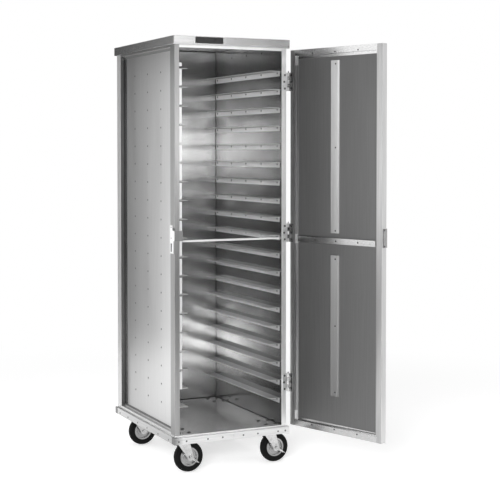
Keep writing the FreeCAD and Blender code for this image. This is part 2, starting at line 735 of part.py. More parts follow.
def door_corner_clips():
    """Small angles between the stiles' walls and laps, at the rails."""
    body = new_body("door_corner_clips", many=True)
    sheet = "dims.clip_sheet"
    floor = f"{DOOR_INNER} - dims.door_panel_set + dims.frame_sheet"
    heights = [f"{DOOR_BOTTOM} + dims.frame_face", f"{MID_RAIL} - dims.clip_height / 2",
               f"{DOOR_TOP} - dims.frame_face - dims.clip_height"]
    for height in heights:
        loops = []
        for edge, inwards in ((HINGE_EDGE, -1), (FREE_EDGE, 1)):
            wall = f"{edge} + {inwards} * dims.frame_face"
            section = [("0", "0"), ("dims.clip_leg", "0"), ("dims.clip_leg", sheet), (sheet, sheet),
                       (sheet, "dims.clip_leg"), ("0", "dims.clip_leg")]
            loops.append([(f"{wall} + {inwards} * {u}", f"{floor} + {v}") for u, v in section])
        pad(body, polygons(body, "XY_Plane", loops, offset=height), "dims.clip_height")
    place_on_door(body)


def door():
    mid_low = f"{MID_RAIL} - dims.mid_rail_width / 2"
    mid_high = f"{MID_RAIL} + dims.mid_rail_width / 2"
    door_panel()
    door_stile("door_hinge_stile", HINGE_EDGE, -1)
    door_stile("door_latch_stile", FREE_EDGE, 1)
    door_end_rail("door_top_rail", DOOR_TOP, -1)
    door_end_rail("door_bottom_rail", DOOR_BOTTOM, 1)
    door_mid_rail()
    door_stiffener("door_upper_stiffener", f"{mid_high} + dims.stiffener_gap",
                   f"({DOOR_TOP} - {FRAME_REACH} - dims.stiffener_gap)")
    door_stiffener("door_lower_stiffener", f"{DOOR_BOTTOM} + {FRAME_REACH} + dims.lower_stiffener_foot_gap",
                   f"({mid_low} - dims.lower_stiffener_top_gap)")
    door_corner_clips()


# Latch and strike

LATCH_PIN_X = f"({FREE_EDGE} + dims.lug_set + dims.lug_width / 2)"
LATCH_PIN_Y = f"({DOOR_OUTER} - dims.latch_sheet - dims.latch_pin_set)"
LUG_START = "(dims.latch_height / 2 - dims.lug_height)"


def latch_body():
    """Latch base wrapped round the door's free edge, with two lugs for the handle's pin."""
    body = new_body("latch_body")
    edge = f"{FREE_EDGE} - dims.latch_edge"
    base = f"{DOOR_OUTER} - dims.latch_sheet"
    start = f"{DOOR_INNER} - dims.latch_edge_set"
    corners = [(edge, start), (FREE_EDGE, start), (FREE_EDGE, DOOR_OUTER),
               (f"{FREE_EDGE} + dims.latch_face", DOOR_OUTER), (f"{FREE_EDGE} + dims.latch_face", base),
               (edge, base)]
    lug_edge = f"{FREE_EDGE} + dims.lug_set"
    lug = rectangle(lug_edge, f"{lug_edge} + dims.lug_width", base, f"{base} - dims.lug_reach")
    middle = LATCH_HEIGHT
    pad(body, polygons(body, "XY_Plane", [corners], offset=middle), "dims.latch_height", both=True)
    pad(body, polygons(body, "XY_Plane", [lug], offset=f"{middle} + {LUG_START}"), "dims.lug_height")
    low_lug = polygons(body, "XY_Plane", [lug], offset=f"{middle} - {LUG_START}")
    pad(body, low_lug, "dims.lug_height", back=True)
    bore = circles(body, "XY_Plane", [(LATCH_PIN_X, LATCH_PIN_Y)], "dims.latch_pin_radius + dims.pin_fit",
                   offset=middle)
    pocket(body, bore, "2 * dims.latch_height", both=True)
    place_on_door(body)


def latch_pin():
    body = new_body("latch_pin")
    shape = circles(body, "XY_Plane", [(LATCH_PIN_X, LATCH_PIN_Y)], "dims.latch_pin_radius",
                    offset=LATCH_HEIGHT)
    pad(body, shape, "dims.latch_height", both=True)
    place_on_door(body)


def latch_handle():
    """Pull handle: a hub on the pin and an arm that kicks out from the door towards its end."""
    body = new_body("latch_handle")
    half = "dims.handle_sheet / 2"
    bend = "dims.handle_bend"
    arm = [("0", f"-{half}"), (bend, f"-{half}"), ("dims.handle_length", f"-{half} - dims.handle_kick"),
           ("dims.handle_length", f"{half} - dims.handle_kick"), (bend, half), ("0", half)]
    corners = [(f"{LATCH_PIN_X} + {u}", f"{LATCH_PIN_Y} + {v}") for u, v in arm]
    hub = circles(body, "XY_Plane", [(LATCH_PIN_X, LATCH_PIN_Y)], "dims.handle_hub_radius",
                  offset=LATCH_HEIGHT)
    outline = polygons(body, "XY_Plane", [corners], offset=LATCH_HEIGHT)
    pad(body, outline, "dims.handle_height", both=True)
    pad(body, hub, f"2 * ({LUG_START} - dims.handle_play)", both=True)
    bore = circles(body, "XY_Plane", [(LATCH_PIN_X, LATCH_PIN_Y)], "dims.latch_pin_radius + dims.pin_fit",
                   offset=LATCH_HEIGHT)
    pocket(body, bore, "2 * dims.latch_height", both=True)
    place_on_door(body)


def latch_strike():
    """Bent strike: a stepped, slotted plate on the latch post's side and a tongue across its face."""
    body = new_body("latch_strike")
    sheet = "dims.strike_sheet"
    rear = "dims.post_side"
    foot = f"({LATCH_HEIGHT} - dims.strike_drop - dims.strike_height / 2)"
    head = f"({foot} + dims.strike_height)"
    tongue_low = f"({LATCH_HEIGHT} - dims.strike_tongue_height / 2)"
    tongue_high = f"({LATCH_HEIGHT} + dims.strike_tongue_height / 2)"
    side = [("dims.strike_foot_set", foot), (rear, foot), (rear, head), ("dims.strike_head_set", head),
            ("dims.strike_head_set", tongue_high), (f"-{sheet}", tongue_high), (f"-{sheet}", tongue_low),
            ("dims.strike_foot_set", tongue_low)]
    tongue = rectangle("0", "dims.post_face + dims.strike_tongue_reach", tongue_low, tongue_high)
    pad(body, polygons(body, "YZ_Plane", [side]), sheet, back=True)
    pad(body, polygons(body, "XZ_Plane", [tongue]), sheet)
    slot_foot = f"{foot} + dims.strike_slot_rise"
    wide = "dims.strike_slot_width / 2"
    slot = rectangle(f"dims.strike_slot_set - {wide}", f"dims.strike_slot_set + {wide}",
                     slot_foot, f"{slot_foot} + dims.strike_slot_height")
    pocket(body, polygons(body, "YZ_Plane", [slot]), sheet)
    place(body, x=f"-{POST_X}", y=FRONT_Y)


# Casters


def caster_plates():
    """Top plates with their upper races, bored for the kingpins and drilled for the bolts."""
    body = new_body("caster_plates", many=True)
    half_x = "dims.plate_width / 2"
    half_y = "dims.plate_length / 2"
    middles = [(f"{side} * {CASTER_X}", f"{end} * {CASTER_Y}") for side, end in CORNERS.values()]
    plates = [rectangle(f"{x} - {half_x}", f"{x} + {half_x}", f"{y} - {half_y}", f"{y} + {half_y}")
              for x, y in middles]
    pad(body, polygons(body, "XY_Plane", plates), "dims.plate_sheet")
    pad(body, circles(body, "XY_Plane", middles, "dims.race_radius"), "dims.race_height", back=True)
    bores = circles(body, "XY_Plane", middles, "dims.kingpin_radius + dims.axle_fit")
    pocket(body, bores, "2 * (dims.plate_sheet + dims.race_height)", both=True)
    pocket(body, bolt_holes(body), "dims.plate_sheet", back=True)
    place(body, z=PLATE_BOTTOM)


def caster_kingpins():
    """Kingpins with a flat head under each fork's crown."""
    body = new_body("caster_kingpins", many=True)
    middles = [(f"{side} * {CASTER_X}", f"{end} * {CASTER_Y}") for side, end in CORNERS.values()]
    shank = circles(body, "XY_Plane", middles, "dims.kingpin_radius")
    head = circles(body, "XY_Plane", middles, "dims.kingpin_head_radius")
    pad(body, shank, f"{PLATE_TOP} - {CROWN_BOTTOM} + dims.race_gap")
    pad(body, head, "dims.kingpin_head_height", back=True)
    place(body, z=f"{CROWN_BOTTOM} - dims.race_gap")


def caster_bolts():
    """Round-headed, square-necked bolts through deck and channels, with hex nuts under the plates."""
    body = new_body("caster_bolts", many=True)
    places = caster_bolt_places()
    reach = f"({DECK_TOP} - {PLATE_BOTTOM})"
    nuts = [[(f"{x} + {u}", f"{y} + {v}") for u, v in hexagon("dims.bolt_nut_radius")] for x, y in places]
    pad(body, polygons(body, "XY_Plane", squares(places, "dims.bolt_neck")), reach)
    heads = circles(body, "XY_Plane", places, "dims.bolt_head_radius", offset=reach)
    pad(body, heads, "dims.bolt_head_height")
    pad(body, polygons(body, "XY_Plane", nuts), "dims.bolt_nut_height", back=True)
    place(body, z=PLATE_BOTTOM)


def at_corner(body, corner):
    """Stands a caster piece, drawn about its swivel axis, at one corner of the base."""
    side, end = CORNERS[corner]
    place(body, f"{side} * {CASTER_X}", f"{end} * {CASTER_Y}")


def at_axle(body, corner):
    """Stands a wheel piece, drawn about the wheel's middle, at one corner of the base."""
    side, end = CORNERS[corner]
    place(body, f"{side} * {CASTER_X} + dims.caster_trail", f"{end} * {CASTER_Y}", "dims.wheel_radius")


def caster_fork(corner):
    """Fork: crown with the lower race, and two tapered legs with round ends at the axle."""
    body = new_body(f"caster_fork_{corner}")
    trail = "dims.caster_trail"
    axle = "dims.wheel_radius"
    end = "dims.fork_end_radius"
    leg = [("-dims.crown_half", CROWN_TOP), ("dims.crown_half", CROWN_TOP), (f"{trail} + {end}", axle),
           (f"{trail} - {end}", axle), ("-dims.crown_half", f"{CROWN_BOTTOM} - dims.crown_sheet")]
    width = f"2 * {FORK_HALF}"
    pad(body, polygons(body, "XZ_Plane", [leg]), width, both=True)
    pad(body, circles(body, "XZ_Plane", [(trail, axle)], end), width, both=True)
    gap = rectangle(f"-{trail} - {axle}", f"{trail} + {axle}", "0", CROWN_BOTTOM)
    pocket(body, polygons(body, "XZ_Plane", [gap]), "dims.fork_gap", both=True)
    race = circles(body, "XY_Plane", [("0", "0")], "dims.race_radius", offset=CROWN_TOP)
    pad(body, race, "dims.lower_race_height")
    bore = circles(body, "XY_Plane", [("0", "0")], "dims.kingpin_radius + dims.axle_fit", offset=CROWN_TOP)
    pocket(body, bore, "4 * dims.lower_race_height", both=True)
    eyes = circles(body, "XZ_Plane", [(trail, axle)], "dims.axle_radius + dims.axle_fit")
    pocket(body, eyes, f"2 * {width}", both=True)
    at_corner(body, corner)


def caster_axle(corner, stack):
    """Axle bolt: shank, a hex head against the rear leg and a hex nut outside the front leg."""
    body = new_body(f"caster_axle_{corner}")
    nut_face = f"({FORK_HALF} + {stack})"
    head = hexagon("dims.nut_radius")
    shank = circles(body, "XZ_Plane", [("0", "0")], "dims.axle_radius", offset=f"-{FORK_HALF}")
    pad(body, shank, f"{FORK_HALF} + {nut_face} + dims.nut_height")
    pad(body, polygons(body, "XZ_Plane", [head], offset=f"-{FORK_HALF}"), "dims.nut_height", back=True)
    pad(body, polygons(body, "XZ_Plane", [head], offset=nut_face), "dims.nut_height")
    at_axle(body, corner)


def wheel_hub(corner):
    """Stepped metal wheel centre, turned about the axle."""
    body = new_body(f"wheel_hub_{corner}")
    half = "(dims.fork_gap / 2 - dims.hub_side_play)"
    rim = "dims.hub_radius - dims.hub_rim"
    ring = "dims.hub_ring_width / 2"
    web = "dims.hub_web_width / 2"
    steps = [("dims.axle_radius + dims.axle_fit", half), ("dims.hub_boss_radius", half),
             ("dims.hub_boss_radius", ring), ("dims.hub_ring_radius", ring), ("dims.hub_ring_radius", web),
             (rim, web), (rim, "dims.hub_width / 2"), ("dims.hub_radius", "dims.hub_width / 2")]
    other_side = [(r, f"-({a})") for r, a in reversed(steps)]
    spin(body, polygons(body, "XY_Plane", [steps + other_side]), "Y_Axis")
    at_axle(body, corner)


def wheel_tyre(corner):
    """Rubber tyre with rounded shoulders, fitted on the hub's rim."""
    body = new_body(f"wheel_tyre_{corner}")
    inner = "dims.hub_radius + dims.tyre_fit"
    half = "dims.tread_width / 2"
    shoulder = "dims.tread_shoulder"
    steps = [(inner, half), (f"dims.wheel_radius - {shoulder}", half),
             ("dims.wheel_radius - dims.tread_corner", f"{half} - dims.tread_corner"),
             ("dims.wheel_radius", f"{half} - {shoulder}")]
    other_side = [(r, f"-({a})") for r, a in reversed(steps)]
    spin(body, polygons(body, "XY_Plane", [steps + other_side]), "Y_Axis")
    at_axle(body, corner)


def brake_lever(corner):
    """Two-ended brake lever on the axle, with a pedal turned out at each end."""
    body = new_body(f"brake_lever_{corner}")
    long = "dims.lever_half_length"
    wide = "dims.lever_half_width"
    pedal = "(dims.lever_half_length - dims.pedal_length)"
    bar = [(f"-{long}", f"-{wide} / 2"), ("0", f"-{wide}"), (long, f"-{wide} / 2"), (long, f"{wide} / 2"),
           ("0", wide), (f"-{long}", f"{wide} / 2")]
    thick = "dims.pedal_sheet / 2"
    pedals = [rectangle(f"-{long}", f"-{pedal}", f"-{thick}", thick),
              rectangle(pedal, long, f"-{thick}", thick)]
    pad(body, polygons(body, "XZ_Plane", [bar], offset=LEVER_FACE), "dims.lever_sheet")
    hub = circles(body, "XZ_Plane", [("0", "0")], "dims.lever_hub_radius", offset=LEVER_FACE)
    pad(body, hub, "dims.lever_sheet")
    pad(body, polygons(body, "XZ_Plane", pedals, offset=LEVER_FACE), "dims.lever_sheet + dims.pedal_reach")
    eye = circles(body, "XZ_Plane", [("0", "0")], "dims.axle_radius + dims.axle_fit", offset=LEVER_FACE)
    pocket(body, eye, "4 * dims.lever_sheet", both=True)
    turn(body, FreeCAD.Vector(0, 1, 0), "dims.lever_tilt")
    at_axle(body, corner)


def casters():
    caster_plates()
    caster_kingpins()
    caster_bolts()
    for corner, (side, end) in CORNERS.items():
        braked = end < 0
        caster_fork(corner)
        caster_axle(corner, "2 * dims.lever_play + dims.lever_sheet" if braked else "0")
        wheel_hub(corner)
        wheel_tyre(corner)
        if braked:
            brake_lever(corner)


def cabinet():
    top_cap()
    floor_deck()
    base_end_rail("base_front_rail", -1)
    base_end_rail("base_rear_rail", 1)
    base_side_rail("base_left_rail", -1)
    base_side_rail("base_right_rail", 1)
    caster_channels()
    latch_post()
    post("post_front_right", 1, -1)
    post("post_rear_left", -1, 1)
    post("post_rear_right", 1, 1)
    panels()
    for name, side in (("left", -1), ("right", 1)):
        side_rail(f"{name}_top_rail", side, True)
        side_rail(f"{name}_bottom_rail", side, False)
        ledges(f"{name}_ledges", side)
    front_header()
    mid_tie_bar()
    guide_strip()
    latch_strike()


def write_parts():
    """Checks every object, then writes each sub-part as its own file."""
    doc.recompute()
    for item in doc.Objects:
        if "Invalid" in item.State or "Error" in item.State:
            raise RuntimeError(f"{item.Label} failed to build")
    for item in subparts:
        if item.Shape.isNull() or not item.Shape.isValid():
            raise RuntimeError(f"{item.Label} has no valid shape")
    os.makedirs("parts", exist_ok=True)
    for item in subparts:
        item.Shape.exportStep(f"parts/{item.Label}.step")
    print(f"{len(subparts)} sub-parts, {sum(len(item.Shape.Solids) for item in subparts)} solids")


cabinet()
hinges()
door()
latch_body()
latch_pin()
latch_handle()
casters()
write_parts()
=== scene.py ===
import json
import math
import bmesh
import bpy
from mathutils import Matrix, Vector


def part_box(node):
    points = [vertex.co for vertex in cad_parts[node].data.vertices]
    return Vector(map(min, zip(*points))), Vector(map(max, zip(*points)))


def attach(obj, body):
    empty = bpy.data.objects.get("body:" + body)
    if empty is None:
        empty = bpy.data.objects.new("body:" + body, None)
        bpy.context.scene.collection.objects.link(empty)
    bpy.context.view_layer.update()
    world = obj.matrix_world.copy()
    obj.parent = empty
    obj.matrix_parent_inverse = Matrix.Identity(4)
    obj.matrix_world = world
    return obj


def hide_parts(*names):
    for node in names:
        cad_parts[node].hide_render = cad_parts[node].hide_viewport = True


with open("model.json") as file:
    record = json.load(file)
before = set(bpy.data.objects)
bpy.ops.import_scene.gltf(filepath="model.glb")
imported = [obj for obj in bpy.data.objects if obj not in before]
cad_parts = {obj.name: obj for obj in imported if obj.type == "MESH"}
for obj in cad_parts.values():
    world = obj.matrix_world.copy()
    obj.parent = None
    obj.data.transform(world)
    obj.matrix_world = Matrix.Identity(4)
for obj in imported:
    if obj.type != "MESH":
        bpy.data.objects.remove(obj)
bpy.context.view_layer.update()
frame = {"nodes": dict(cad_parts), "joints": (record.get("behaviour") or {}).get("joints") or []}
cad_nodes = frame["nodes"]
joints = {joint["name"]: joint for joint in frame["joints"]}

MM = 0.001
LOW, HIGH = 0, 1
SIDES = ((-1, "left"), (1, "right"))
CASTERS = ("fl", "fr", "rl", "rr")


def in_mm(metres):
    """Length in millimetres, without the mesh's last digits."""
    return round(metres / MM, 3)


def limit(node, end, axis):
    """Low or high side of a CAD node's box along one axis, in millimetres."""
    return in_mm(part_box(node)[end]["XYZ".index(axis)])


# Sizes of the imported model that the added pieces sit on, in millimetres
CAP_FRONT = limit("top_cap", LOW, "Y")
APRON_X = limit("base_front_rail", HIGH, "X")
APRON_Y = -limit("base_front_rail", LOW, "Y")
POST_X = limit("post_front_right", HIGH, "X")
FRONT_Y = limit("post_front_left", LOW, "Y")
PANEL_X = limit("right_side_panel", HIGH, "X")
CABIN_X = limit("right_side_panel", LOW, "X")
CABIN_BACK = limit("back_panel", LOW, "Y")
CABIN_HIGH = limit("back_panel", HIGH, "Z")
DECK_TOP = limit("floor_deck", HIGH, "Z")
SILL_TOP = limit("left_bottom_rail", HIGH, "Z")
TOP_RAIL_LOW = limit("left_top_rail", LOW, "Z")
RAIL_REAR = limit("left_top_rail", HIGH, "Y")
STRIKE_LOW = limit("latch_strike", LOW, "Z")
LEDGE_TOP = limit("right_ledges", HIGH, "Z")
LEDGE_PITCH = 76.2
LEDGE_COUNT = 19
LEDGE_SHEET = 2.0
STRIKE_SHEET = 2.0

# Door, drawn closed about its hinge pin, in millimetres and degrees
PIN_X, PIN_Y, PIN_Z = (in_mm(value) for value in joints["door_hinge"]["pos_m"])
DOOR_OPEN = -joints["door_hinge"]["range_deg"][LOW]
DOOR_WIDTH = 496.0
DOOR_EDGE = -9.6
DOOR_INNER = -2.5
DOOR_SKIN_DEPTH = 12.0
STRAP_HEIGHT = 7.0


def mm(x, y, z):
    """Point in metres from millimetres."""
    return Vector((x * MM, y * MM, z * MM))


door_place = Matrix.Translation(mm(PIN_X, PIN_Y, 0)) @ Matrix.Rotation(math.radians(DOOR_OPEN), 4, "Z")


# Materials

NOISE_RANGE = (0.3, 0.7)
NOISE_ROUGHNESS = 0.55
STREAK_SCALE = 260.0
STREAK_STRETCH = 0.02
STREAK_BUMP = 0.25
CLOUD_SCALE = 14.0
CLOUD_STRETCH = 0.15
WAVE_SCALE = 7.0
SHEEN_VARIES = 0.06
LIGHTEST = 0.97
# Turn of the normal over which the painted shade of faces that look back along an axis fades in
SIDE_SHADE_TURN = (-0.9, -0.4)
INNER_TURN = (-0.5, 0.5)
BRUSH_TURN = 0.25
BRUSH_SPREAD = 0.02


class Net:
    """Short calls for building a node tree."""

    def __init__(self, tree):
        self.tree = tree

    def add(self, kind, **values):
        """New node with some of its settings."""
        node = self.tree.nodes.new(kind)
        for key, value in values.items():
            setattr(node, key, value)
        return node

    def feed(self, socket, item):
        """Gives an input another node's output or a plain value."""
        if isinstance(item, bpy.types.NodeSocket):
            self.tree.links.new(item, socket)
        else:
            socket.default_value = item

    def change(self, source, start, end, smooth=False):
        """Maps a number from one range to another, and holds it beyond the ends."""
        node = self.add("ShaderNodeMapRange", interpolation_type="SMOOTHSTEP" if smooth else "LINEAR")
        for name, value in zip(("From Min", "From Max", "To Min", "To Max"), (*start, *end)):
            node.inputs[name].default_value = value
        self.feed(node.inputs["Value"], source)
        return node.outputs["Result"]

    def part(self, source, axis):
        """One component of a vector."""
        node = self.add("ShaderNodeSeparateXYZ")
        self.feed(node.inputs[0], source)
        return node.outputs[axis]

    def math(self, operation, first, second):
        """One sum of two numbers."""
        node = self.add("ShaderNodeMath", operation=operation)
        self.feed(node.inputs[0], first)
        self.feed(node.inputs[1], second)
        return node.outputs["Value"]


class Finish(Net):
    """Principled material made of noises over the object's own coordinates."""

    def __init__(self, name):
        self.material = bpy.data.materials.new(name)
        self.material.use_nodes = True
        super().__init__(self.material.node_tree)
        self.shader = self.tree.nodes["Principled BSDF"]
        places = self.add("ShaderNodeTexCoord")
        self.coordinates = places.outputs["Object"]
        self.normals = places.outputs["Normal"]

    def give(self, name, item):
        """Sets one input of the shader."""
        self.feed(self.shader.inputs[name], item)

    def noise(self, scale, detail, stretch=(1.0, 1.0, 1.0), roughness=NOISE_ROUGHNESS):
        """Noise, stretched per axis."""
        mapping = self.add("ShaderNodeMapping")
        mapping.inputs["Scale"].default_value = stretch
        self.feed(mapping.inputs["Vector"], self.coordinates)
        noise = self.add("ShaderNodeTexNoise")
        for name, value in (("Scale", scale), ("Detail", detail), ("Roughness", roughness)):
            noise.inputs[name].default_value = value
        self.feed(noise.inputs["Vector"], mapping.outputs["Vector"])
        return noise.outputs["Fac"]

    def greys(self, factor, dark, light):
        """Grey between two (position, shade) stops."""
        ramp = self.add("ShaderNodeValToRGB")
        for element, (position, shade) in zip(ramp.color_ramp.elements, (dark, light)):
            element.position = position
            element.color = (shade, shade, shade, 1.0)
        self.feed(ramp.inputs["Fac"], factor)
        return ramp.outputs["Color"]

    def shaded(self, colour, source, axis, span, level):
        """Colour that is darker by level before a span along one axis of a vector, and full after it."""
        scale = self.add("ShaderNodeVectorMath", operation="SCALE")
        self.feed(scale.inputs[0], colour)
        self.feed(scale.inputs["Scale"], self.change(self.part(source, axis), span, (level, 1.0)))
        return scale.outputs["Vector"]

    def tint(self, colour, painted_side_shade, painted_span_shade):
        """Base colour with painted shade: darker on the faces that look back along an axis, and darker before
        a span along an axis.
        """
        if painted_side_shade:
            axis, level = painted_side_shade
            colour = self.shaded(colour, self.normals, axis, SIDE_SHADE_TURN, level)
        for axis, start, end, level in painted_span_shade:
            colour = self.shaded(colour, self.coordinates, axis, (start, end), level)
        self.give("Base Color", colour)

    def sheen(self, cloud, rough, inner):
        """Roughness that varies with a noise, and is another one on the faces that look along X."""
        sheen = self.change(cloud, NOISE_RANGE, (rough * (1.0 - SHEEN_VARIES), rough * (1.0 + SHEEN_VARIES)))
        if inner:
            turn = self.change(self.part(self.normals, "X"), INNER_TURN, (1.0, inner / rough))
            sheen = self.math("MULTIPLY", sheen, turn)
        self.give("Roughness", sheen)

    def brush(self, grain, amount):
        """Draws the reflections out across the grain axis."""
        along = self.add("ShaderNodeCombineXYZ")
        for axis in "XYZ":
            along.inputs[axis].default_value = 1.0 if axis == grain else BRUSH_SPREAD
        self.give("Anisotropic", amount)
        self.give("Anisotropic Rotation", BRUSH_TURN)
        self.give("Tangent", along.outputs["Vector"])

    def bump(self, height, strength, distance):
        """Relief from a noise."""
        bump = self.add("ShaderNodeBump")
        bump.inputs["Strength"].default_value = strength
        bump.inputs["Distance"].default_value = distance
        self.feed(bump.inputs["Height"], height)
        self.give("Normal", bump.outputs["Normal"])


def drawn_out(grain, stretch):
    """Scale of a noise that is drawn out along the grain axis."""
    return tuple(stretch if axis == grain else 1.0 for axis in "XYZ")


def sheet_material(name, shade, rough, grain, streaks=0.1, depth=0.000004, metal=1.0, brushed=0.0,
                   wave=0.0, painted_side_shade=None, painted_span_shade=(), inner=None):
    """Rolled or brushed metal sheet: streaks along the grain axis, or soft waves, a cloudy sheen, and painted
    shade where asked.
    """
    finish = Finish(name)
    streak = finish.noise(STREAK_SCALE, 2.0, drawn_out(grain, STREAK_STRETCH), roughness=0.5)
    cloud = finish.noise(CLOUD_SCALE, 3.0, drawn_out(grain, CLOUD_STRETCH))
    dark, light = shade * (1.0 - streaks), min(shade * (1.0 + streaks), LIGHTEST)
    finish.give("Metallic", metal)
    finish.tint(finish.greys(streak, (0.25, dark), (0.75, light)), painted_side_shade, painted_span_shade)
    finish.sheen(cloud, rough, inner)
    if wave:
        finish.bump(finish.noise(WAVE_SCALE, 1.0), 1.0, wave)
    else:
        finish.bump(streak, STREAK_BUMP, depth)
    if brushed:
        finish.brush(grain, brushed)
    return finish.material


def cast_material(name, shade, rough, speckle=700.0, depth=0.00006):
    """Plated or painted metal with a fine speckle and soft wear in its sheen."""
    finish = Finish(name)
    grain = finish.noise(speckle, 5.0)
    cloud = finish.noise(40.0, 2.0)
    finish.give("Metallic", 1.0)
    finish.give("Base Color", finish.greys(cloud, (0.3, shade * 0.85), (0.7, shade * 1.1)))
    finish.give("Roughness", finish.change(cloud, NOISE_RANGE, (rough * 0.8, rough * 1.25)))
    finish.bump(grain, 0.3, depth)
    return finish.material


def rubber_material(name):
    """Black tyre rubber, dusty in patches."""
    finish = Finish(name)
    dust = finish.noise(60.0, 6.0)
    grain = finish.noise(1200.0, 2.0)
    finish.give("Base Color", finish.greys(dust, (0.35, 0.003), (0.75, 0.009)))
    finish.give("Roughness", finish.change(dust, NOISE_RANGE, (0.5, 0.72)))
    finish.give("Specular IOR Level", 0.15)
    finish.bump(grain, 0.35, 0.00015)
    return finish.material


def plate_material(name):
    """Satin black plate with a faint cloudy sheen."""
    finish = Finish(name)
    cloud = finish.noise(90.0, 4.0)
    grain = finish.noise(1500.0, 2.0, drawn_out("X", 0.03))
    finish.give("Base Color", finish.greys(cloud, (0.3, 0.008), (0.8, 0.022)))
    finish.give("Roughness", finish.change(cloud, NOISE_RANGE, (0.24, 0.4)))
    finish.bump(grain, 0.2, 0.00004)
    return finish.material


# Painted shade: (axis, level) darkens the faces that look back along an axis, and (axis, start, end, level)
# darkens the sheet before a span along an axis, with its places in metres
# Left side panel: painted shade, darker toward the rear; it and the right side panel are lit and shaded
# copies of one sheet
shell = sheet_material("shell_sheet", shade=0.8, rough=0.315, grain="Z", streaks=0.04, depth=0.000001,
                       painted_span_shade=[("Y", 0.3, -0.3, 0.62)], inner=0.15)
# Front-left post and top rails: painted shade on the faces that look toward -X; the corner posts are lit and
# shaded copies of one metal
frame_metal = sheet_material("frame_metal", shade=0.47, rough=0.32, grain="Z", painted_side_shade=("X", 0.85))
# Front-right post: a lit copy of the post metal, painted lighter
hinge_post = sheet_material("hinge_post_metal", shade=0.92, rough=0.32, grain="Z", metal=0.9)
# Rear posts: a lit copy of the post metal, with painted shade on their faces that look toward the front (-Y)
rear_frame = sheet_material("rear_frame_metal", shade=0.66, rough=0.32, grain="Z", metal=0.75,
                            painted_side_shade=("Y", 0.22))
# Bottom rails: a lit copy of the rail metal, with painted shade along their top edge
sill_metal = sheet_material("sill_metal", shade=0.68, rough=0.32, grain="Y", metal=0.75,
                            painted_span_shade=[("Z", 0.182, 0.178, 0.25)])
# Front header: painted shade on its downward faces
header_metal = sheet_material("header_metal", shade=0.92, rough=0.32, grain="X", metal=0.7,
                              painted_side_shade=("Z", 0.3))
# Top cap: painted shade, darker on its front faces and toward the rear
lid = sheet_material("lid_sheet", shade=0.84, rough=0.24, grain="X", metal=0.93, brushed=0.6,
                     painted_side_shade=("Y", 0.82), painted_span_shade=[("Y", 0.352, -0.352, 0.42)])
back_lining = sheet_material("back_lining_sheet", shade=0.6, rough=0.25, grain="Z", streaks=0.05,
                             brushed=0.85, wave=0.003)
# Right side panel: a shaded copy of the side sheet, with painted shade darker toward its front and rear edges
lining = sheet_material("lining_sheet", shade=0.53, rough=0.13, grain="Z", streaks=0.05, wave=0.0012,
                        painted_span_shade=[("Y", -0.34, -0.12, 0.62), ("Y", 0.336, 0.2, 0.5)])
deck = sheet_material("deck_sheet", shade=0.92, rough=0.2, grain="Y", metal=0.7)
# Ledges: painted shade on their undersides and toward their front ends
ledge_metal = sheet_material("ledge_metal", shade=0.93, rough=0.32, grain="Y", streaks=0.06, metal=0.42,
                             painted_side_shade=("Z", 0.2), painted_span_shade=[("Y", -0.34, -0.15, 0.5)])
bar_metal = sheet_material("bar_metal", shade=0.55, rough=0.34, grain="X", streaks=0.02, metal=0.3)
# Painted shade for the strip where each side panel tucks under its rear post
lap_painted_shade = sheet_material("lap_painted_shade_metal", shade=0.15, rough=0.24, grain="Z", streaks=0.08)
strip_metal = sheet_material("strip_metal", shade=0.6, rough=0.34, grain="Z", streaks=0.05, metal=0.5)
# Strike: painted shade on its faces that look toward the front (-Y)
strike_metal = sheet_material("strike_metal", shade=0.84, rough=0.34, grain="Z", streaks=0.04, metal=0.6,
                              painted_side_shade=("Y", 0.25))
# Front and rear aprons: painted shade at their ends on the left (-X)
apron = sheet_material("apron_sheet", shade=0.84, rough=0.34, grain="X", depth=0.00001, metal=0.8,
                       painted_span_shade=[("X", -0.26, -0.22, 0.3)])
# Side aprons and caster channels: a shaded copy of the apron metal
apron_side = sheet_material("apron_side_sheet", shade=0.72, rough=0.34, grain="Y", depth=0.00001)
# Door panel: painted shade on its inner face, which looks toward -X
door_skin = sheet_material("door_skin", shade=0.8, rough=0.5, grain="Z", streaks=0.05, painted_side_shade=("X", 0.4))
door_edge = sheet_material("door_edge", shade=0.74, rough=0.32, grain="Z", depth=0.000002)
# Hinge stile: a shaded copy of the stile metal
hinge_edge = sheet_material("hinge_edge", shade=0.45, rough=0.32, grain="Z", depth=0.000002)
# Door stiffeners: painted shade, darker toward the bottom
strap_metal = sheet_material("strap_metal", shade=0.66, rough=0.42, grain="Z", streaks=0.05, depth=0.000002,
                             metal=0.75, painted_span_shade=[("Z", 0.3, 1.6, 0.45)])
# Door rails: painted shade, darker toward the hinge end
door_cross = sheet_material("door_cross_frame", shade=0.93, rough=0.2, grain="Y", depth=0.000002,
                            painted_span_shade=[("Y", -0.36, -0.6, 0.55)])
hardware = cast_material("plated_hardware", shade=0.42, rough=0.21, speckle=500.0)
leaf_metal = cast_material("hinge_leaf", shade=0.85, rough=0.36, speckle=500.0)
zinc = cast_material("zinc_caster", shade=0.85, rough=0.2, speckle=400.0, depth=0.00001)
hub_metal = cast_material("wheel_centre", shade=0.55, rough=0.21, speckle=300.0, depth=0.00001)
rivet_metal = cast_material("rivet_metal", shade=0.18, rough=0.36)
dark_rivet = cast_material("dark_rivet", shade=0.05, rough=0.45)
screw_metal = cast_material("screw_metal", shade=0.12, rough=0.35)
bolt_metal = cast_material("bolt_metal", shade=0.14, rough=0.4, speckle=600.0)
tyre_rubber = rubber_material("tyre_rubber")
plate_black = plate_material("plate_black")
# Painted shade for the beads in the cabinet's joins and for the strike's slot
painted_shade_seam = plate_material("painted_shade_seam")

